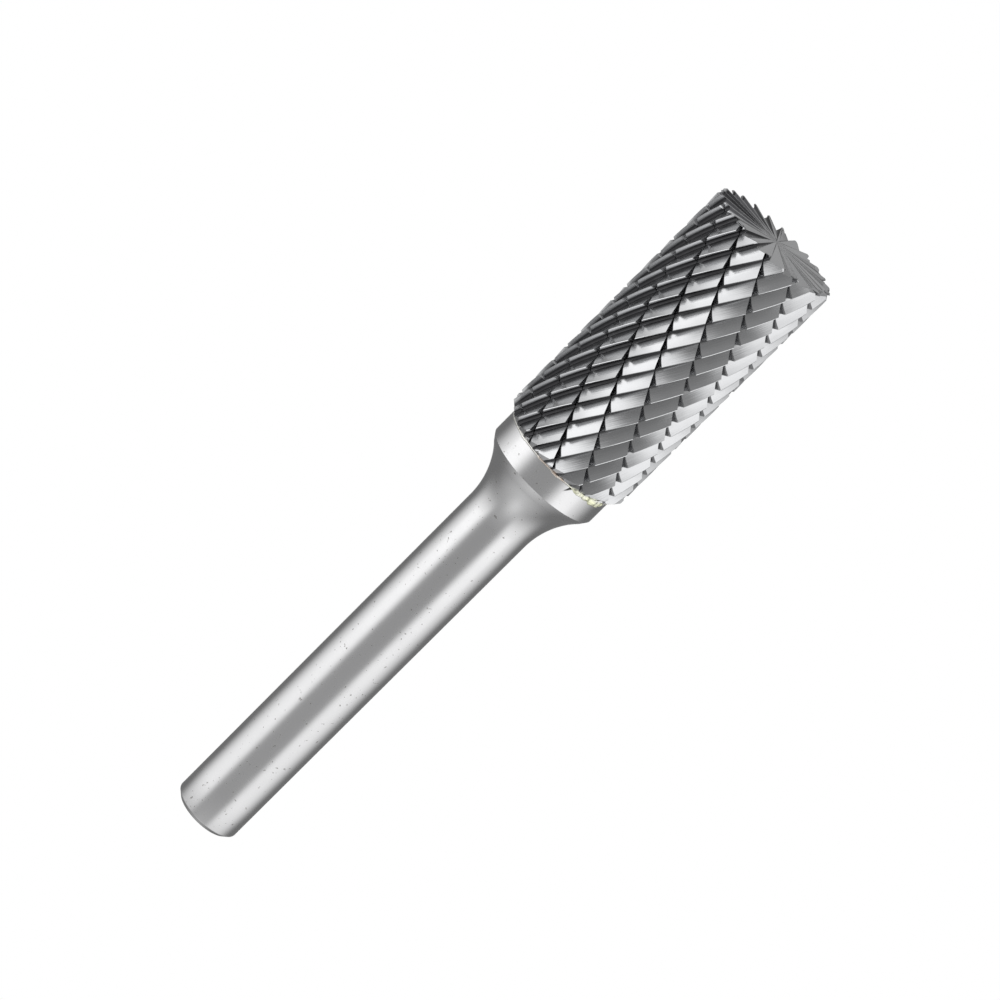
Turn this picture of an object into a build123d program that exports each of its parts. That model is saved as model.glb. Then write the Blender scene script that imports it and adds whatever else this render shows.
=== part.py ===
from build123d import *
import os
from math import acos, asin, atan2, cos, degrees, hypot, radians, sin, tan

os.makedirs("parts", exist_ok=True)

# Solid carbide burr, cylinder shape with an end cut, on a steel shank.
# Sizes in mm. It stands on the end cut, with its axis along +Z.

# Overall
head_diameter = 12.45  # over the crests of the teeth
head_length = 25.4
shank_diameter = 6.35
shank_length = 37.2  # straight part, end chamfer included
shank_chamfer = 0.45

# Collar and the flare that leads into it
collar_diameter = 10.95
collar_length = 2.25
bevel_length = 0.5  # narrow cone at the collar's back edge
bevel_rise = 0.36
flare_length = 5.13
flare_radius = 7.7

# Nick in the collar's front edge, along the flutes' slant
nick_angle = -115
nick_depth = 0.3
nick_length = 1.1
nick_half_width = 0.1
nick_slant = 32

# Joint between the head and the collar
braze_gap = 0.12
braze_bead = 0.05  # how far the bead stands out of the gap

# Main flutes, right-hand helix
flute_count = 24
flute_lead = 61.4  # travel along the axis for one full turn
flute_depth = 0.64
gullet_round = 0.2  # between the cutting face and the back of the next tooth
crest_land = 0.06
crest_angle = -95.3  # one crest, at the end face

# Chip breakers, left-hand helix
breaker_count = 12
breaker_lead = 74.4
breaker_depth = 0.72
breaker_slope = 38  # of the wall next to the end, from the radius
breaker_face = 3  # of the steep wall
breaker_angle = -89.1  # one groove, at the end face

# End cut
end_tooth_depth = 0.5  # at the rim, running out near the centre
end_tooth_share = 0.9  # part of the pitch cut away at the rim
end_tooth_land = 0.12  # part of that which the gash's steep side takes
end_core_radius = 0.9
rim_chamfer = 0.2
back_chamfer = 0.7  # where the flutes run out, next to the collar

head_radius = head_diameter / 2
shank_radius = shank_diameter / 2
collar_radius = collar_diameter / 2
flute_pitch = 360 / flute_count
overrun = 0.5  # cutters reach this far past the stock


def polar(radius, angle):
    return (radius * cos(radians(angle)), radius * sin(radians(angle)))


# Head: one tooth space, spun round and twisted up the axis.
# Its cutting face is radial. The back is a straight line from the crest's
# land, tangent to the gullet.
back_edge = crest_angle + degrees(crest_land / head_radius)
face_angle = crest_angle + flute_pitch
gullet_bottom = head_radius - flute_depth
gullet_centre = gullet_bottom + gullet_round
face_turn = asin(gullet_round / gullet_centre)
gullet_angle = face_angle - degrees(face_turn)
gullet_x, gullet_y = polar(gullet_centre, gullet_angle)
edge_x, edge_y = polar(head_radius, back_edge)
edge_distance = hypot(edge_x - gullet_x, edge_y - gullet_y)
edge_bearing = atan2(edge_y - gullet_y, edge_x - gullet_x)
foot_bearing = edge_bearing - acos(gullet_round / edge_distance)
back_foot = (gullet_x + gullet_round * cos(foot_bearing), gullet_y + gullet_round * sin(foot_bearing))
face_foot = polar(gullet_centre * cos(face_turn), face_angle)

with BuildSketch() as tooth_space:
    with BuildLine():
        Polyline(
            back_foot,
            (edge_x, edge_y),
            polar(head_radius + overrun, back_edge),
            polar(head_radius + overrun, face_angle),
            face_foot,
        )
        ThreePointArc(back_foot, polar(gullet_bottom, gullet_angle), face_foot)
    make_face()

with BuildSketch() as fluted_section:
    Circle(head_radius)
    with PolarLocations(0, flute_count):
        add(tooth_space.sketch, mode=Mode.SUBTRACT)

fluted_bar = Solid.extrude_linear_with_rotation(
    fluted_section.face(),
    center=(0, 0, 0),
    normal=(0, 0, head_length),
    angle=360 * head_length / flute_lead,
)

# A chip breaker is a lopsided vee that follows its own helix, past both ends.
vee_bottom = head_radius - breaker_depth
vee_top = head_radius + overrun
slope_reach = (vee_top - vee_bottom) * tan(radians(breaker_slope))
face_reach = (vee_top - vee_bottom) * tan(radians(breaker_face))
breaker_travel = head_length + 2 * overrun

with BuildSketch(Plane.XY.offset(-overrun)) as breaker_vee:
    with BuildLine():
        Polyline(
            (vee_bottom, 0),
            (vee_top, face_reach),
            (vee_top, -slope_reach),
            close=True,
        )
    make_face()

breaker_groove = Solid.extrude_linear_with_rotation(
    breaker_vee.face(),
    center=(0, 0, -overrun),
    normal=(0, 0, breaker_travel),
    angle=-360 * breaker_travel / breaker_lead,
)

# An end tooth's gash is a straight vee, tipped so that it runs out
# near the centre. Its steep side is the cutting face.
gash_width = head_radius * radians(flute_pitch) * end_tooth_share
gash_lean = end_tooth_land * gash_width
gash_rise = end_tooth_depth / (head_radius - end_core_radius)
gash_plane = Plane(
    origin=(end_core_radius, 0, 0),
    x_dir=(0, 1, 0),
    z_dir=(1, 0, gash_rise),
)

with BuildPart() as end_gash:
    with BuildSketch(gash_plane):
        with BuildLine():
            Polyline(
                (-gash_lean, 0),
                (-gash_width, -end_tooth_depth),
                (0, -end_tooth_depth),
                close=True,
            )
        make_face()
    extrude(amount=2 * head_radius)

with BuildPart() as carbide_head:
    add(fluted_bar)
    with PolarLocations(0, flute_count, start_angle=crest_angle):
        add(end_gash.part, mode=Mode.SUBTRACT)
    with PolarLocations(0, breaker_count, start_angle=breaker_angle):
        add(breaker_groove, mode=Mode.SUBTRACT)
    with BuildSketch(Plane.XZ):
        with BuildLine():
            Polyline(
                (0, 0),
                (head_radius - rim_chamfer, 0),
                (head_radius + overrun, rim_chamfer + overrun),
                (head_radius + overrun, head_length - back_chamfer - overrun),
                (head_radius - back_chamfer, head_length),
                (0, head_length),
                close=True,
            )
        make_face()
    revolve(axis=Axis.Z, mode=Mode.INTERSECT)

# Braze: a thin disc in the gap, with a bead round its edge.
collar_top = head_length + braze_gap

with BuildPart() as braze_seam:
    with BuildSketch(Plane.XZ):
        with BuildLine():
            Polyline(
                (collar_radius, collar_top),
                (0, collar_top),
                (0, head_length),
                (collar_radius, head_length),
            )
            ThreePointArc(
                (collar_radius, head_length),
                (collar_radius + braze_bead, head_length + braze_gap / 2),
                (collar_radius, collar_top),
            )
        make_face()
    revolve(axis=Axis.Z)

# Shank: turned in one piece with its flare and collar.
collar_back = collar_top + collar_length
bevel_back = collar_back + bevel_length
flare_back = bevel_back + flare_length
shank_end = flare_back + shank_length

# The nick is a vee, deepest at the joint, that runs out of the collar's side.
nick_plane = Plane(
    origin=(collar_radius - nick_depth, 0, collar_top),
    x_dir=(0, cos(radians(nick_slant)), -sin(radians(nick_slant))),
    z_dir=(nick_depth / nick_length, sin(radians(nick_slant)), cos(radians(nick_slant))),
)

with BuildPart() as collar_nick:
    with BuildSketch(nick_plane):
        with BuildLine():
            Polyline(
                (0, 0),
                (2 * nick_half_width, -2 * nick_depth),
                (-2 * nick_half_width, -2 * nick_depth),
                close=True,
            )
        make_face()
    extrude(amount=2 * nick_length, both=True)

with BuildPart() as steel_shank:
    with BuildSketch(Plane.XZ):
        with BuildLine():
            Polyline(
                (collar_radius - bevel_rise, bevel_back),
                (collar_radius, collar_back),
                (collar_radius, collar_top),
                (0, collar_top),
                (0, shank_end),
                (shank_radius - shank_chamfer, shank_end),
                (shank_radius, shank_end - shank_chamfer),
                (shank_radius, flare_back),
            )
            RadiusArc(
                (shank_radius, flare_back),
                (collar_radius - bevel_rise, bevel_back),
                -flare_radius,
            )
        make_face()
    revolve(axis=Axis.Z)
    with PolarLocations(0, 1, start_angle=nick_angle):
        add(collar_nick.part, mode=Mode.SUBTRACT)

carbide_head.part.label = "carbide_head"
braze_seam.part.label = "braze_seam"
steel_shank.part.label = "steel_shank"

export_step(carbide_head.part, "parts/carbide_head.step")
export_step(braze_seam.part, "parts/braze_seam.step")
export_step(steel_shank.part, "parts/steel_shank.step")
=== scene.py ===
import math

import bmesh
import bpy
from mathutils import Matrix, Vector, noise


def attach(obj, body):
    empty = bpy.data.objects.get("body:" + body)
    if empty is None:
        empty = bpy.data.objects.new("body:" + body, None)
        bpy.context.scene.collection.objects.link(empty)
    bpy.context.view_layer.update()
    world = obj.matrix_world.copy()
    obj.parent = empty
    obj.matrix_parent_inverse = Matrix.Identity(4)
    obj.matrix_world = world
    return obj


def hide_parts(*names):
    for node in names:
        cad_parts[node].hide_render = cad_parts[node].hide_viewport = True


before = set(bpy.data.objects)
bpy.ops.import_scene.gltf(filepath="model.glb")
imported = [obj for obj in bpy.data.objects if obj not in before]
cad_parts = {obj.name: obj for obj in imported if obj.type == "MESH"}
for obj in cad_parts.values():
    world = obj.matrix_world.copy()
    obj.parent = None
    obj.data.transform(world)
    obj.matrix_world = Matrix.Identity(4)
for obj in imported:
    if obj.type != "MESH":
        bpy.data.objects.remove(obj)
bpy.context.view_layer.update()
mm = 0.001

# The burr stands on its end cut: z = 0 is the end, the shank points up.
# Sizes are in mm, angles in degrees.


# a socket that can be used in sums, and makes further nodes beside itself
class Wire:
    def __init__(self, tree, socket=None):
        self.tree = tree
        self.socket = socket

    def make(self, kind, settings=None, values=None, output=0):
        node = self.tree.nodes.new(kind)
        for name, value in (settings or {}).items():
            if name == "points":  # straight runs between the points of a float curve
                curve = node.mapping.curves[0]
                while len(curve.points) < len(value):
                    curve.points.new(0.5, 0.5)
                for point, place in zip(curve.points, value):
                    point.location = place
                    point.handle_type = "VECTOR"
                node.mapping.update()
            elif name == "stops":  # colours of a ramp
                ramp = node.color_ramp
                while len(ramp.elements) < len(value):
                    ramp.elements.new(0.5)
                for element, (place, colour) in zip(ramp.elements, value):
                    element.position = place
                    element.color = colour
            else:
                setattr(node, name, value)
        for key, value in (values or {}).items():
            if isinstance(value, Wire):
                self.tree.links.new(value.socket, node.inputs[key])
            else:
                node.inputs[key].default_value = value
        return Wire(self.tree, node.outputs[output]) if node.outputs else None

    def out(self, name):
        return Wire(self.tree, self.socket.node.outputs[name])

    def math(self, operation, *others):
        values = dict(enumerate((self,) + others))
        return self.make("ShaderNodeMath", {"operation": operation}, values)

    def ramp(self, low, high, start=0.0, end=1.0, kind="LINEAR"):
        return self.make("ShaderNodeMapRange", {"interpolation_type": kind}, {
            "Value": self, "From Min": low, "From Max": high, "To Min": start, "To Max": end})

    def __add__(self, other):
        return self.math("ADD", other)

    def __sub__(self, other):
        return self.math("SUBTRACT", other)

    def __rsub__(self, other):
        return self.make("ShaderNodeMath", {"operation": "SUBTRACT"}, {0: other, 1: self})

    def __mul__(self, other):
        return self.math("MULTIPLY", other)

    def __truediv__(self, other):
        return self.math("DIVIDE", other)

    def __rtruediv__(self, other):
        return self.make("ShaderNodeMath", {"operation": "DIVIDE"}, {0: other, 1: self})

    __radd__ = __add__
    __rmul__ = __mul__


carbideFinish = {
    "colour": (0.62, 0.625, 0.635, 1),
    # painted shade: the dark colour painted into the gullets and on the breakers' sloping walls
    "gullet": (0.07, 0.07, 0.074, 1),
    "paintedShadeFrom": 0.72,  # share of the pitch, from a crest over the back, over which the gullets get painted shade
    "paintedShadeTo": 0.86,
    "paintedShadeDepth": (0.25, 0.6),  # shares of the flute's depth between which the painted shade darkens
    "wallPaintedShade": 0.7,  # painted shade on the chip breakers' sloping walls
    "roughness": 0.2,
    "grindingAcross": 9.0,  # marks per mm across the flutes
    "grindingAlong": 0.35,
    "bump": 0.25,
    "bumpDepth": 0.02,
    "blotches": 0.9,  # per mm
    "blotchShade": 0.15,
}

steelFinish = {
    "colour": (0.62, 0.62, 0.625, 1),
    "speck": (0.25, 0.24, 0.23, 1),
    # painted shade for the nick's walls
    "nick": (0.06, 0.055, 0.05, 1),
    "roughness": 0.24,
    "turningLines": 14.0,  # marks per mm along the axis
    "bump": 0.12,
    "bumpDepth": 0.01,
    "blotches": 0.42,  # per mm
    "specks": 3.2,
    "speckShade": 0.7,
}

brazeFinish = {
    "silver": (0.84, 0.83, 0.79, 1),
    "orange": (0.80, 0.60, 0.47, 1),
    "green": (0.82, 0.83, 0.60, 1),
    # from -X to +X as shares: green up to the first, silver, orange between
    # the third and the fourth, then silver again
    "tintsAt": (0.25, 0.33, 0.39, 0.57, 0.66),
    "patches": 0.9,  # per mm
    "grain": 5.2,
    "bump": 0.5,
    "bumpDepth": 0.02,
    "roughness": 0.34,
}


def newMaterial(name):
    material = bpy.data.materials.new(name)
    material.use_nodes = True
    material.node_tree.nodes.clear()
    return material, Wire(material.node_tree)


def finishMaterial(start, values):
    surface = start.make("ShaderNodeBsdfPrincipled", None, values)
    start.make("ShaderNodeOutputMaterial", None, {"Surface": surface})


def blend(factor, first, second):
    values = {"Factor": factor, 6: first, 7: second}
    return factor.make("ShaderNodeMix", {"data_type": "RGBA"}, values, 2)


def cloud(place, perMm, detail):
    values = {"Vector": place, "Scale": 1000 * perMm, "Detail": detail}
    return place.make("ShaderNodeTexNoise", None, values)


def groundCarbide(turnPerMetre):
    material, start = newMaterial("groundCarbide")
    place = start.make("ShaderNodeTexCoord").out("Object")
    apart = start.make("ShaderNodeSeparateXYZ", None, {0: place})
    x, y, z = apart.out("X"), apart.out("Y"), apart.out("Z")
    radius = (x * x + y * y).math("SQRT")
    depth = (head["radius"] * mm - radius) / (head["fluteDepth"] * mm)
    # undo the twist, so that marks run along the flutes
    straight = start.make(
        "ShaderNodeVectorRotate",
        {"rotation_type": "Z_AXIS"},
        {"Vector": place, "Angle": z * (-turnPerMetre)},
    )
    squeeze = 1000 * carbideFinish["grindingAlong"] / carbideFinish["grindingAcross"]
    stretch = start.make(
        "ShaderNodeVectorMath",
        {"operation": "MULTIPLY"},
        {0: straight, 1: (1000, 1000, squeeze)},
    )
    marks = start.make(
        "ShaderNodeTexNoise",
        None,
        {"Vector": stretch, "Scale": carbideFinish["grindingAcross"], "Detail": 3.0},
    )
    blotch = cloud(place, carbideFinish["blotches"], 2.0)

    # how far round a tooth space: 0 at a crest, over the back, 1 at the next cutting face
    bearing = y.math("ARCTAN2", x)
    pitch = 2 * math.pi / head["flutes"]
    crest = head["crestAngle"] * head["flutes"] / 360 + 0.01
    share = ((bearing - z * turnPerMetre) / pitch - crest).math("FRACT")
    # painted shade: the gullets are painted darker, more the deeper they lie
    paintedShade = share.ramp(carbideFinish["paintedShadeFrom"], carbideFinish["paintedShadeTo"])
    paintedShade = paintedShade * depth.ramp(*carbideFinish["paintedShadeDepth"])

    # the sloping wall of a chip breaker: how deep it would lie here
    gap = 2 * math.pi / head["breakers"]
    breakerTurn = 2 * math.pi / (head["breakerLead"] * mm)
    groove = head["breakerAngle"] * head["breakers"] / 360
    across = (bearing + z * breakerTurn) / gap - groove
    reach = gap * head["radius"] / math.tan(math.radians(head["breakerSlope"])) * mm
    wall = head["breakerDepth"] * mm - (1 - across.math("FRACT")) * reach
    below = head["radius"] * mm - radius
    # painted shade on the sloping wall of each chip breaker, in the gullets' dark colour
    onWall = (wall - below).ramp(-0.05 * mm, -0.02 * mm) * below.ramp(0.02 * mm, 0.06 * mm)
    paintedShade = paintedShade.math("MAXIMUM", onWall * carbideFinish["wallPaintedShade"])

    # painted shade in the gullets and on the breakers' walls, plus random blotches of tone
    paintedShadeAndBlotches = paintedShade + (blotch - 0.5) * carbideFinish["blotchShade"]
    bump = start.make("ShaderNodeBump", None, {
        "Height": marks,
        "Strength": carbideFinish["bump"],
        "Distance": carbideFinish["bumpDepth"] * mm,
    })
    finishMaterial(start, {
        "Base Color": blend(paintedShadeAndBlotches, carbideFinish["colour"], carbideFinish["gullet"]),
        "Metallic": 1.0,
        "Roughness": carbideFinish["roughness"] + (marks - 0.5) * 0.12 + paintedShade * 0.1,
        "Normal": bump,
    })
    return material


def groundSteel():
    material, start = newMaterial("groundSteel")
    place = start.make("ShaderNodeTexCoord").out("Object")
    lined = start.make(
        "ShaderNodeVectorMath",
        {"operation": "MULTIPLY"},
        {0: place, 1: (60, 60, 1000 * steelFinish["turningLines"])},
    )
    lines = start.make("ShaderNodeTexNoise", None, {"Vector": lined, "Scale": 1.0, "Detail": 2.0})
    blotch = cloud(place, steelFinish["blotches"], 4.0)
    speck = cloud(place, steelFinish["specks"], 1.0).ramp(0.70, 0.76)
    colour = blend(speck * steelFinish["speckShade"], steelFinish["colour"], steelFinish["speck"])

    # painted shade: the nick's walls are painted dark, inside the collar's outer skin, and only along the
    # collar
    apart = start.make("ShaderNodeSeparateXYZ", None, {0: place})
    x, y, z = apart.out("X"), apart.out("Y"), apart.out("Z")
    collar = shank["collarRadius"]
    under = (x * x + y * y).math("SQRT").ramp((collar - 0.08) * mm, (collar - 0.03) * mm, 1, 0)
    collarBack = head["length"] + braze["gap"] + shank["collarLength"]
    paintedNickShade = under * z.ramp((collarBack - 0.3) * mm, (collarBack - 0.2) * mm, 1, 0)
    colour = blend(paintedNickShade, colour, steelFinish["nick"])

    bump = start.make("ShaderNodeBump", None, {
        "Height": lines,
        "Strength": steelFinish["bump"],
        "Distance": steelFinish["bumpDepth"] * mm,
    })
    finishMaterial(start, {
        "Base Color": colour,
        "Metallic": 1.0,
        "Roughness": steelFinish["roughness"] + (blotch - 0.5) * 0.10 + (lines - 0.5) * 0.08 + speck * 0.2,
        "Normal": bump,
    })
    return material


def silverSolder():
    material, start = newMaterial("silverSolder")
    place = start.make("ShaderNodeTexCoord").out("Object")
    side = start.make("ShaderNodeSeparateXYZ", None, {0: place}).out("X")
    reach = shank["collarRadius"] * mm
    silver, orange, green = brazeFinish["silver"], brazeFinish["orange"], brazeFinish["green"]
    stops = tuple(zip(brazeFinish["tintsAt"], (green, silver, orange, orange, silver)))
    tint = start.make("ShaderNodeValToRGB", {"stops": stops}, {"Fac": side.ramp(-reach, reach)})
    patch = cloud(place, brazeFinish["patches"], 2.0)
    grain = cloud(place, brazeFinish["grain"], 3.0)
    bump = start.make("ShaderNodeBump", None, {
        "Height": grain,
        "Strength": brazeFinish["bump"],
        "Distance": brazeFinish["bumpDepth"] * mm,
    })
    finishMaterial(start, {
        "Base Color": blend(patch.ramp(0.42, 0.60), tint, silver),
        "Metallic": 0.85,
        "Roughness": brazeFinish["roughness"] + (grain - 0.5) * 0.3,
        "Normal": bump,
    })
    return material


def link(name, mesh):
    piece = bpy.data.objects.new(name, mesh)
    bpy.context.scene.collection.objects.link(piece)
    return piece


def toMesh(piece):  # the result of a piece's modifiers, as a plain mesh
    bpy.context.view_layer.update()
    graph = bpy.context.evaluated_depsgraph_get()
    mesh = bpy.data.meshes.new_from_object(piece.evaluated_get(graph), depsgraph=graph)
    piece.modifiers.clear()
    piece.data = mesh
    return piece


def sharpen(mesh, limit):  # smooth faces, with sharp edges past the limit
    shape = bmesh.new()
    shape.from_mesh(mesh)
    bmesh.ops.dissolve_degenerate(shape, dist=2e-6, edges=shape.edges)
    for face in shape.faces:
        face.smooth = True
    for edge in shape.edges:
        edge.smooth = len(edge.link_faces) == 2 and edge.calc_face_angle(0) < math.radians(limit)
    shape.to_mesh(mesh)
    shape.free()


def closeShape(name, shape, limit=None):
    bmesh.ops.recalc_face_normals(shape, faces=shape.faces)
    mesh = bpy.data.meshes.new(name)
    shape.to_mesh(mesh)
    shape.free()
    if limit:
        sharpen(mesh, limit)
    return link(name, mesh)


def turned(name, profile, segments, limit=25):  # a closed shape turned round Z
    shape = bmesh.new()
    rings = []
    for radius, z in profile:
        if radius == 0:
            rings.append([shape.verts.new((0, 0, z * mm))])
            continue
        ring = []
        for k in range(segments):
            angle = 2 * math.pi * k / segments
            ring.append(shape.verts.new((
                radius * mm * math.cos(angle), radius * mm * math.sin(angle), z * mm)))
        rings.append(ring)
    for lower, upper in zip(rings, rings[1:]):
        for k in range(segments):
            after = (k + 1) % segments
            if len(lower) == 1:
                shape.faces.new((lower[0], upper[after], upper[k]))
            elif len(upper) == 1:
                shape.faces.new((lower[k], lower[after], upper[0]))
            else:
                shape.faces.new((lower[k], lower[after], upper[after], upper[k]))
    return closeShape(name, shape, limit)


def prism(name, near, far):  # a closed shape between two sections with as many corners each
    shape = bmesh.new()
    near = [shape.verts.new(corner * mm) for corner in near]
    far = [shape.verts.new(corner * mm) for corner in far]
    shape.faces.new(near)
    shape.faces.new(far)
    for k in range(len(near)):
        shape.faces.new((near[k - 1], near[k], far[k], far[k - 1]))
    return closeShape(name, shape)


def newTree(name, inputs):
    tree = bpy.data.node_groups.new(name, "GeometryNodeTree")
    tree.interface.new_socket("Geometry", in_out="OUTPUT", socket_type="NodeSocketGeometry")
    for label, (kind, value) in inputs.items():
        socket = tree.interface.new_socket(label, in_out="INPUT", socket_type="NodeSocket" + kind)
        if value is not None:
            socket.default_value = value
    start = Wire(tree)
    entry = start.make("NodeGroupInput")
    return tree, start, {label: entry.out(label) for label in inputs}


def growPiece(name, tree, values):
    host = link(name, bpy.data.meshes.new(name))
    modifier = host.modifiers.new(name, "NODES")
    modifier.node_group = tree
    for item in tree.interface.items_tree:
        if item.name in values:
            modifier[item.identifier] = values[item.name]
    return toMesh(host)


head = {
    "radius": 6.225,
    "length": 25.4,
    "flutes": 24,
    "fluteLead": 61.4,  # travel along the axis for one turn, right hand
    "crestAngle": -95.3,
    "fluteDepth": 0.64,
    "gulletRound": 0.2,
    "crestLand": 0.06,
    "breakers": 12,
    "breakerLead": 74.4,  # left hand
    "breakerAngle": -89.1,
    "breakerDepth": 0.72,
    "breakerSlope": 38,  # of the wall next to the end, from the radius
    "breakerFace": 3,  # of the steep wall
    "unevenness": 0.02,
    "rimChamfer": 0.2,
    "backChamfer": 0.7,
    "spare": 0.4,  # stock past both ends, turned off later
}

# Along one tooth: the sloping and the steep wall of a chip breaker, then
# plain tooth up to the next one.
breakerWalls = ((0, -1), (0.125, -0.5), (0.25, 0), (0.375, 1), (1, 1))
plainTooth = ((0, 0), (0.375, 0), (0.5, 0.2), (0.625, 0.4), (0.75, 0.6), (0.875, 0.8), (1, 1))
stepsAlong = 8

endCut = {
    "depth": 0.5,
    "share": 0.9,  # of the pitch at the rim
    "lean": 0.12,
    "coreRadius": 0.9,
    "below": 0.08,  # how far a gash starts below the face, as a share of its depth
}


# One tooth in section, from its crest over the land, the back and the gullet
# to the next cutting face: shares of the pitch and of the flute's depth.
def toothStations():
    radius = head["radius"]
    pitch = math.radians(360 / head["flutes"])
    bottom = radius - head["fluteDepth"]
    gullet = head["gulletRound"]
    turn = math.asin(gullet / (bottom + gullet))
    centre = Vector((math.cos(pitch - turn), math.sin(pitch - turn))) * (bottom + gullet)
    land = head["crestLand"] / radius
    edge = Vector((math.cos(land), math.sin(land))) * radius
    away = edge - centre
    footBearing = math.atan2(away.y, away.x) - math.acos(gullet / away.length) + 2 * math.pi
    faceBearing = pitch + math.pi / 2
    foot = centre + Vector((math.cos(footBearing), math.sin(footBearing))) * gullet
    spots = [Vector((radius, 0))]
    spots += [edge.lerp(foot, k / 5) for k in range(5)]
    for k in range(10):
        bearing = footBearing + (faceBearing - footBearing) * k / 9
        spots.append(centre + Vector((math.cos(bearing), math.sin(bearing))) * gullet)
    spots.append(Vector((math.cos(pitch), math.sin(pitch))) * radius)
    return [(math.atan2(spot.y, spot.x) / pitch, (radius - spot.length) / head["fluteDepth"])
            for spot in spots]


def toothLattice():
    # Columns follow the flutes and rows follow the chip breakers, so every
    # crest and every groove edge is a line of the mesh.
    tree, start, given = newTree("toothLattice", {
        "Radius": ("Float", 0.006),
        "Length": ("Float", 0.025),
        "Flutes": ("Int", 24),
        "Flute Turn": ("Float", 5863.0),  # degrees per metre
        "Crest Angle": ("Float", 0.0),
        "Flute Depth": ("Float", 0.0008),
        "Breakers": ("Int", 12),
        "Breaker Turn": ("Float", 4839.0),
        "Breaker Angle": ("Float", 0.0),
        "Breaker Depth": ("Float", 0.0006),
        "Breaker Slope": ("Float", 0.0004),
        "Breaker Face": ("Float", 0.00003),
        "Unevenness": ("Float", 0.0),
        "Spare": ("Float", 0.0004),
        "Blank": ("Object", None),
        "Gash": ("Object", None),
        "Finish": ("Material", None),
    })
    stations = toothStations()
    stepsAcross = len(stations) - 1
    pitch = 360 / given["Flutes"]
    gap = 360 / given["Breakers"]
    bothTurns = given["Flute Turn"] + given["Breaker Turn"]
    stock = given["Length"] + given["Spare"]

    # rows needed to cover one turn of columns and the whole length
    below = given["Crest Angle"] - bothTurns * given["Spare"] - given["Breaker Angle"]
    firstRow = (below / gap).math("FLOOR") - 1
    reach = given["Crest Angle"] + 360 + bothTurns * stock - given["Breaker Angle"]
    rows = (reach / gap).math("CEIL") - firstRow + 1

    columnCount = given["Flutes"] * stepsAcross
    rowCount = rows * stepsAlong
    grid = start.make("GeometryNodeMeshGrid", None, {
        "Size X": 1.0,
        "Size Y": 1.0,
        "Vertices X": columnCount + 1,
        "Vertices Y": rowCount + 1,
    })
    place = start.make("ShaderNodeSeparateXYZ", None, {0: start.make("GeometryNodeInputPosition")})
    column = ((place.out("X") + 0.5) * columnCount).math("ROUND")
    row = ((place.out("Y") + 0.5) * rowCount).math("ROUND")

    tooth = (column / stepsAcross + 0.001).math("FLOOR")
    acrossStep = column / stepsAcross - tooth
    shares = [(k / stepsAcross, share) for k, (share, fall) in enumerate(stations)]
    falls = [(k / stepsAcross, fall) for k, (share, fall) in enumerate(stations)]
    across = start.make("ShaderNodeFloatCurve", {"points": shares}, {"Value": acrossStep})
    fall = start.make("ShaderNodeFloatCurve", {"points": falls}, {"Value": acrossStep})
    fluteAngle = given["Crest Angle"] + pitch * (tooth + across)
    drop = fall * given["Flute Depth"]

    breaker = (row / stepsAlong + 0.001).math("FLOOR")
    alongStep = row / stepsAlong - breaker
    walls = [(place, (wall + 1) / 2) for place, wall in breakerWalls]
    wall = start.make("ShaderNodeFloatCurve", {"points": walls}, {"Value": alongStep}) * 2 - 1
    plain = start.make("ShaderNodeFloatCurve", {"points": plainTooth}, {"Value": alongStep})
    left = (given["Breaker Depth"] - drop).math("MAXIMUM", 0.0)
    opened = (left / given["Breaker Depth"] / given["Radius"]).math("DEGREES")
    slope = given["Breaker Slope"] * opened
    face = given["Breaker Face"] * opened
    offset = wall.math("MINIMUM", 0.0) * slope + wall.math("MAXIMUM", 0.0) * face
    rowAngle = (firstRow + breaker) * gap + given["Breaker Angle"]
    breakerAngle = rowAngle + offset + plain * (gap - slope - face)
    depth = drop + (1 - wall.math("ABSOLUTE")) * left

    z = (breakerAngle - fluteAngle) / bothTurns
    angle = (given["Breaker Turn"] * fluteAngle + given["Flute Turn"] * breakerAngle) / bothTurns
    angle = angle.math("RADIANS")
    inside = z.math("LESS_THAN", stock) * z.math("GREATER_THAN", given["Spare"] * -1)
    z = z.math("MINIMUM", stock).math("MAXIMUM", given["Spare"] * -1)

    rough = start.make("ShaderNodeCombineXYZ", None, {
        0: angle.math("COSINE") * given["Radius"],
        1: angle.math("SINE") * given["Radius"],
        2: z,
    })
    wander = start.make("ShaderNodeTexNoise", None, {"Vector": rough, "Scale": 700.0, "Detail": 1.0})
    depth = depth + (wander - 0.5) * given["Unevenness"] * inside
    radius = (given["Radius"] - depth) * inside
    moved = start.make("ShaderNodeCombineXYZ", None, {
        0: angle.math("COSINE") * radius,
        1: angle.math("SINE") * radius,
        2: z,
    })
    shape = start.make("GeometryNodeSetPosition", None, {"Geometry": grid, "Position": moved})
    shape = start.make("GeometryNodeMergeByDistance", None, {"Geometry": shape, "Distance": 1e-6})
    shape = start.make("GeometryNodeFlipFaces", None, {"Mesh": shape})

    # turn the blank's ends, then grind one gash for each end tooth
    blank = start.make("GeometryNodeObjectInfo", None, {"Object": given["Blank"]}).out("Geometry")
    shape = start.make(
        "GeometryNodeMeshBoolean",
        {"operation": "INTERSECT", "solver": "MANIFOLD"},
        {"Mesh 2": shape},
    )
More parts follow.
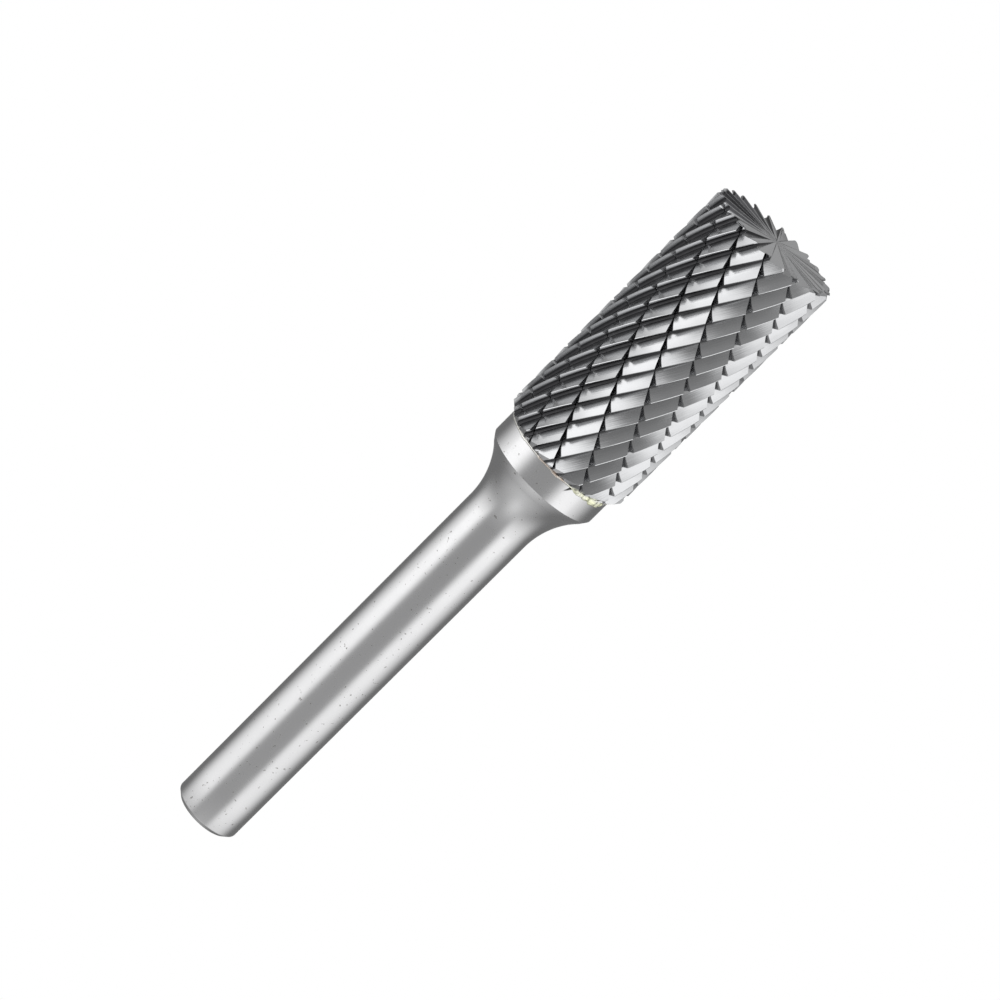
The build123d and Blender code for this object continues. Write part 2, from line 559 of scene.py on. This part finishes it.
    # the second mesh of an intersection goes into the same socket
    start.tree.links.new(blank.socket, shape.socket.node.inputs["Mesh 2"])
    wheel = start.make("GeometryNodeObjectInfo", None, {"Object": given["Gash"]}).out("Geometry")
    ring = start.make("GeometryNodeMeshCircle", None, {"Vertices": given["Flutes"], "Radius": 0.0})
    turn = start.make("ShaderNodeCombineXYZ", None, {
        2: (given["Crest Angle"] + start.make("GeometryNodeInputIndex") * pitch).math("RADIANS"),
    })
    gashes = start.make("GeometryNodeInstanceOnPoints", None, {
        "Points": ring,
        "Instance": wheel,
        "Rotation": start.make("FunctionNodeEulerToRotation", None, {"Euler": turn}),
    })
    gashes = start.make("GeometryNodeRealizeInstances", None, {"Geometry": gashes})
    shape = start.make(
        "GeometryNodeMeshBoolean",
        {"operation": "DIFFERENCE", "solver": "MANIFOLD"},
        {"Mesh 1": shape, "Mesh 2": gashes},
    )
    shape = start.make("GeometryNodeRealizeInstances", None, {"Geometry": shape})
    shape = start.make("GeometryNodeSetMaterial", None, {"Geometry": shape, "Material": given["Finish"]})
    start.make("NodeGroupOutput", None, {"Geometry": shape})
    return tree


# An end tooth's gash across its length: deepest at the rim, nothing at the core.
# Its three corners are the bottom and both edges, a little below the end face.
def gashSection(out):
    radius, core = head["radius"], endCut["coreRadius"]
    size = (out - core) / (radius - core)
    deep = endCut["depth"] * size
    width = radius * math.radians(360 / head["flutes"]) * endCut["share"] * size
    lean = endCut["lean"] * width
    below = endCut["below"] * deep
    return (
        Vector((out, -lean, deep)),
        Vector((out, -width - (width - lean) * endCut["below"], -below)),
        Vector((out, lean * endCut["below"], -below)),
    )


def makeHead():
    radius, length = head["radius"], head["length"]
    clear = 0.5  # of the blank outside the teeth
    rim, back = head["rimChamfer"], head["backChamfer"]
    blank = turned("headBlank", (
        (0, 0),
        (radius - rim, 0),
        (radius + clear, rim + clear),
        (radius + clear, length - back - clear),
        (radius - back, length),
        (0, length),
    ), 96)
    gash = prism("endGash", gashSection(endCut["coreRadius"] + 0.02), gashSection(radius + 1))

    piece = growPiece("carbideTeeth", toothLattice(), {
        "Radius": radius * mm,
        "Length": length * mm,
        "Flutes": head["flutes"],
        "Flute Turn": 360 / (head["fluteLead"] * mm),
        "Crest Angle": head["crestAngle"],
        "Flute Depth": head["fluteDepth"] * mm,
        "Breakers": head["breakers"],
        "Breaker Turn": 360 / (head["breakerLead"] * mm),
        "Breaker Angle": head["breakerAngle"],
        "Breaker Depth": head["breakerDepth"] * mm,
        "Breaker Slope": head["breakerDepth"] * math.tan(math.radians(head["breakerSlope"])) * mm,
        "Breaker Face": head["breakerDepth"] * math.tan(math.radians(head["breakerFace"])) * mm,
        "Unevenness": head["unevenness"] * mm,
        "Spare": head["spare"] * mm,
        "Blank": blank,
        "Gash": gash,
        "Finish": groundCarbide(math.radians(360 / (head["fluteLead"] * mm))),
    })
    bpy.data.objects.remove(blank)
    bpy.data.objects.remove(gash)
    sharpen(piece.data, 26)
    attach(piece, "root")
    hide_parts("carbide_head")
    print("head: faces", len(piece.data.polygons), "size", [round(v / mm, 3) for v in piece.dimensions])
    return piece


shank = {
    "radius": 3.175,
    "length": 37.2,
    "chamfer": 0.45,
    "collarRadius": 5.475,
    "collarLength": 2.25,
    "bevelLength": 0.5,
    "flareLength": 5.13,
    "flareRadius": 7.7,
    "flareSteps": 18,
    "shaftSteps": 12,
    "brokenEdge": 0.05,
    "segments": 160,
}

# where a flute's grinding wheel ran on into the collar's edge
nick = {
    "angle": -118.0,
    "width": 0.42,  # at the collar's side
    "length": 1.3,
    "depth": 0.35,
    "lead": 0.3,  # starts this far in front of the joint
    "slant": 32.0,
}

braze = {
    "gap": 0.12,
    "bead": 0.04,
    "lumps": 0.10,
    "reach": 0.16,  # how far the bead spreads along the axis
    "runFrom": -160,  # between these angles the solder ran out in beads
    "runTo": -116,
    "runBead": 0.14,
    "runReach": 0.34,
    "runFade": 5,
    "seed": 3.0,
    "inside": 0.2,  # how far the bead goes into the joint
    "around": 480,
    "over": 12,
}


# a vee, deepest at the joint, that runs out of the collar's side
def nickWheel():
    low, collar = head["length"] + braze["gap"], shank["collarRadius"]
    angle, slant = math.radians(nick["angle"]), math.radians(nick["slant"])
    outward = Vector((math.cos(angle), math.sin(angle), 0))
    up = Vector((0, 0, 1))
    along = up * math.cos(slant) + up.cross(outward) * math.sin(slant)
    across = outward.cross(along) * nick["width"]
    start = outward * (collar - nick["depth"]) + up * (low - nick["lead"])
    opening = outward * (2 * nick["depth"])
    near = (start, start + across + opening, start - across + opening)
    run = along * nick["length"] + outward * nick["depth"]
    return prism("nickWheel", near, [corner + run for corner in near])


def makeShank():
    low = head["length"] + braze["gap"]
    collarBack = low + shank["collarLength"]
    flareFront = collarBack + shank["bevelLength"]
    flareBack = flareFront + shank["flareLength"]
    end = flareBack + shank["length"]
    collar, radius = shank["collarRadius"], shank["radius"]
    edge, chamfer = shank["brokenEdge"], shank["chamfer"]
    profile = [
        (0, low),
        (collar - edge, low),
        (collar, low + edge),
        (collar, collarBack - edge),
        (collar - 0.6 * edge, collarBack + 0.2 * edge),
    ]
    sweep = shank["flareRadius"]
    for k in range(shank["flareSteps"] + 1):
        z = flareFront + shank["flareLength"] * k / shank["flareSteps"]
        profile.append((radius + sweep - math.sqrt(sweep ** 2 - (flareBack - z) ** 2), z))
    straight = shank["length"] - chamfer - edge
    for k in range(shank["shaftSteps"]):
        profile.append((radius, flareBack + straight * (k + 1) / shank["shaftSteps"]))
    profile += [
        (radius - 0.4 * edge, end - chamfer + 0.3 * edge),
        (radius - chamfer + 0.4 * edge, end - 0.4 * edge),
        (radius - chamfer - 0.6 * edge, end),
        (0, end),
    ]
    piece = turned("turnedShank", profile, shank["segments"], 20)

    cutter = nickWheel()
    cut = piece.modifiers.new("nick", "BOOLEAN")
    cut.operation = "DIFFERENCE"
    cut.object = cutter
    cut.solver = "EXACT"
    toMesh(piece)
    bpy.data.objects.remove(cutter)
    sharpen(piece.data, 20)
    piece.data.materials.clear()
    piece.data.materials.append(groundSteel())
    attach(piece, "root")
    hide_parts("steel_shank")
    print("shank: faces", len(piece.data.polygons), "size", [round(v / mm, 3) for v in piece.dimensions])
    return piece


# How far the bead stands out and spreads at an angle, and how much of it ran out
# there. The spot is its place in the noise.
def beadAt(degrees, spot):
    lump = max(0.0, noise.noise(spot) + 0.12) + 0.5 * max(0.0, noise.noise(spot * 5.3))
    edge = min(degrees - braze["runFrom"], braze["runTo"] - degrees) / braze["runFade"]
    ran = min(max(edge, 0.0), 1.0)
    stand = braze["bead"] + braze["lumps"] * lump
    stand += ran * braze["runBead"] * (0.6 + noise.noise(spot * 3.1))
    spread = braze["reach"] * lump + ran * braze["runReach"] * (0.7 + noise.noise(spot * 2.3))
    return stand, spread, ran


def makeBraze():
    around, over = braze["around"], braze["over"]
    low, high = head["length"], head["length"] + braze["gap"]
    collar = shank["collarRadius"]
    up = Vector((0, 0, 1))
    shape = bmesh.new()
    rings = []
    for k in range(around):
        degrees = 360 * k / around - 180
        angle = math.radians(degrees)
        outward = Vector((math.cos(angle), math.sin(angle), 0))
        spot = outward * 4.2 + Vector((braze["seed"], 0, 0))
        stand, spread, ran = beadAt(degrees, spot)
        first, last = low - 0.8 * ran * spread, high + spread
        section = [outward * (collar - braze["inside"]) + up * low]
        for j in range(over + 1):
            turn = math.pi * j / over
            z = first + (last - first) * (1 - math.cos(turn)) / 2
            rough = 1 + 0.5 * ran * noise.noise(spot * 2.6 + up * (z * 4))
            section.append(outward * (collar - 0.01 + stand * math.sin(turn) * rough) + up * z)
        section.append(outward * (collar - braze["inside"]) + up * high)
        rings.append([shape.verts.new(corner * mm) for corner in section])
    middleLow = shape.verts.new(up * low * mm)
    middleHigh = shape.verts.new(up * high * mm)
    for k in range(around):
        here, after = rings[k], rings[(k + 1) % around]
        for j in range(len(here) - 1):
            shape.faces.new((here[j], after[j], after[j + 1], here[j + 1]))
        shape.faces.new((middleLow, after[0], here[0]))
        shape.faces.new((middleHigh, here[-1], after[-1]))
    piece = closeShape("brazeBead", shape, 50)
    piece.data.materials.append(silverSolder())
    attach(piece, "root")
    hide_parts("braze_seam")
    print("braze: faces", len(piece.data.polygons))
    return piece


view = {
    "place": (0.924, -319.42, -63.49),
    "aim": (1.059, 0, 31.997),
    "roll": -135.0,
    "lens": 144.0,
    "sensor": 36,
}

# Light round the burr. Azimuths are in degrees from the front, -Y, towards +X,
# elevations in degrees from level. A level of 1 shows white.
studio = {
    "lampAt": 63,
    "lampDistance": 400,
    "lampHeight": 35,
    "lampWidth": 245,
    "lampTall": 290,
    "lampLevels": {1: 0.35, -1: 0.30},
    "wings": {1: (0.94, 18, 50), -1: (0.82, 25, 60)},  # level, and where it fades upwards
    "wingFront": (26, 46),
    "wingBack": (80, 132),
    # elevation and level, over all the front and all the back
    "front": (
        (-90, 0.30), (-35, 0.44), (-16, 0.24), (0, 0.15),
        (16, 0.44), (35, 0.50), (55, 0.50), (90, 0.80),
    ),
    "behind": (
        (-90, 0.30), (-35, 0.40), (-16, 0.45), (0, 0.15),
        (16, 0.20), (55, 0.22), (90, 0.80),
    ),
    "frontToBehind": (50, 130),
    "top": (-10, 60, 30, 15, 0.5),  # a small glow: azimuth, elevation, width, height, level
    "backdrop": (0.0, 0.958, 0.287),  # which way the white backdrop hangs
    "backdropHalf": 10,
    "floor": (0.93, 0.93, 0.93, 1),
    "floorHalf": 2000,
    "floorFade": (120, 600),  # how far out the floor turns white
}


def addCamera():
    data = bpy.data.cameras.new("camera")
    data.lens = view["lens"]
    data.sensor_width = view["sensor"]
    camera = bpy.data.objects.new("camera", data)
    bpy.context.scene.collection.objects.link(camera)
    place = Vector(view["place"]) * mm
    line = Vector(view["aim"]) * mm - place
    turn = line.to_track_quat("-Z", "Y").to_matrix().to_4x4()
    roll = Matrix.Rotation(math.radians(view["roll"]), 4, "Z")
    camera.matrix_world = Matrix.Translation(place) @ turn @ roll
    bpy.context.scene.camera = camera
    print("camera: lens", data.lens)


def addLamps():
    width, tall = studio["lampWidth"] * mm, studio["lampTall"] * mm
    for side, level in studio["lampLevels"].items():
        data = bpy.data.lights.new("softbox", "AREA")
        data.shape = "RECTANGLE"
        data.size = width
        data.size_y = tall
        data.energy = level * math.pi * width * tall
        lamp = bpy.data.objects.new("softbox", data)
        bpy.context.scene.collection.objects.link(lamp)
        turn = math.radians(side * studio["lampAt"])
        out = Vector((math.sin(turn), -math.cos(turn), 0)) * studio["lampDistance"] * mm
        lamp.location = out + Vector((0, 0, studio["lampHeight"] * mm))
        lamp.rotation_euler = (-out).to_track_quat("-Z", "Y").to_euler()
    print("lamps:", len(studio["lampLevels"]))


def addWorld():
    world = bpy.data.worlds.new("studio")
    bpy.context.scene.world = world
    world.use_nodes = True
    world.node_tree.nodes.clear()
    start = Wire(world.node_tree)
    way = start.make("ShaderNodeTexCoord").out("Generated")
    apart = start.make("ShaderNodeSeparateXYZ", None, {0: way})
    azimuth = apart.out("X").math("ARCTAN2", apart.out("Y") * -1).math("DEGREES")
    elevation = apart.out("Z").math("ARCSINE").math("DEGREES")
    away = azimuth.math("ABSOLUTE")

    def byElevation(stops):
        points = [((angle + 90) / 180, level) for angle, level in stops]
        return start.make("ShaderNodeFloatCurve", {"points": points}, {"Value": elevation.ramp(-90, 90)})

    front, behind = byElevation(studio["front"]), byElevation(studio["behind"])
    level = front + (behind - front) * away.ramp(*studio["frontToBehind"], kind="SMOOTHSTEP")
    wing = away.ramp(*studio["wingFront"], kind="SMOOTHSTEP")
    wing = wing * away.ramp(*studio["wingBack"], 1, 0, "SMOOTHSTEP")
    for side, (strength, full, gone) in studio["wings"].items():
        onSide = (azimuth * side).math("GREATER_THAN", 0.0)
        level = level + wing * onSide * elevation.ramp(full, gone, strength, 0, "SMOOTHSTEP")
    angle, height, wide, tall, strength = studio["top"]
    across, up = (azimuth - angle) / wide, (elevation - height) / tall
    level = level + ((across * across + up * up) * -1).math("EXPONENT") * strength

    # the white backdrop: all round for the camera, and behind the burr in the metal
    facing = start.make(
        "ShaderNodeVectorMath",
        {"operation": "DOT_PRODUCT"},
        {0: way, 1: studio["backdrop"]},
        output=1,
    )
    edge = math.cos(math.radians(studio["backdropHalf"]))
    rays = start.make("ShaderNodeLightPath")
    mirrored = rays.out("Is Glossy Ray").math("MAXIMUM", rays.out("Is Transmission Ray"))
    white = rays.out("Is Camera Ray").math("MAXIMUM", mirrored * facing.ramp(edge - 0.004, edge))
    level = level + (1 - level) * white
    back = start.make("ShaderNodeBackground", None, {"Color": (1, 1, 1, 1), "Strength": level})
    start.make("ShaderNodeOutputWorld", None, {"Surface": back})
    print("world: nodes", len(world.node_tree.nodes))


def addFloor():
    material, start = newMaterial("paleFloor")
    place = start.make("ShaderNodeTexCoord").out("Object")
    far = start.make("ShaderNodeVectorMath", {"operation": "LENGTH"}, {0: place}, output=1)
    fade = far.ramp(*[distance * mm for distance in studio["floorFade"]])
    paint = start.make("ShaderNodeBsdfDiffuse", None, {"Color": studio["floor"]})
    white = start.make("ShaderNodeEmission", None, {"Color": (1, 1, 1, 1), "Strength": 1.0})
    top = start.make("ShaderNodeMixShader", None, {0: fade, 1: paint, 2: white})
    # from underneath the floor lets the camera through
    clear = start.make("ShaderNodeBsdfTransparent")
    seen = start.make("ShaderNodeLightPath").out("Is Camera Ray")
    under = start.make("ShaderNodeNewGeometry").out("Backfacing")
    shown = seen * (1 - under)
    surface = start.make("ShaderNodeMixShader", None, {0: shown, 1: clear, 2: top})
    start.make("ShaderNodeOutputMaterial", None, {"Surface": surface})
    mesh = bpy.data.meshes.new("floor")
    half = studio["floorHalf"] * mm
    corners = [(-half, -half, 0), (half, -half, 0), (half, half, 0), (-half, half, 0)]
    mesh.from_pydata(corners, [], [(0, 1, 2, 3)])
    mesh.materials.append(material)
    floor = link("floor", mesh)
    print("floor: out to", studio["floorHalf"], "mm")


makeHead()
makeShank()
makeBraze()
addCamera()
addLamps()
addWorld()
addFloor()
bpy.context.scene.view_settings.view_transform = "Standard"
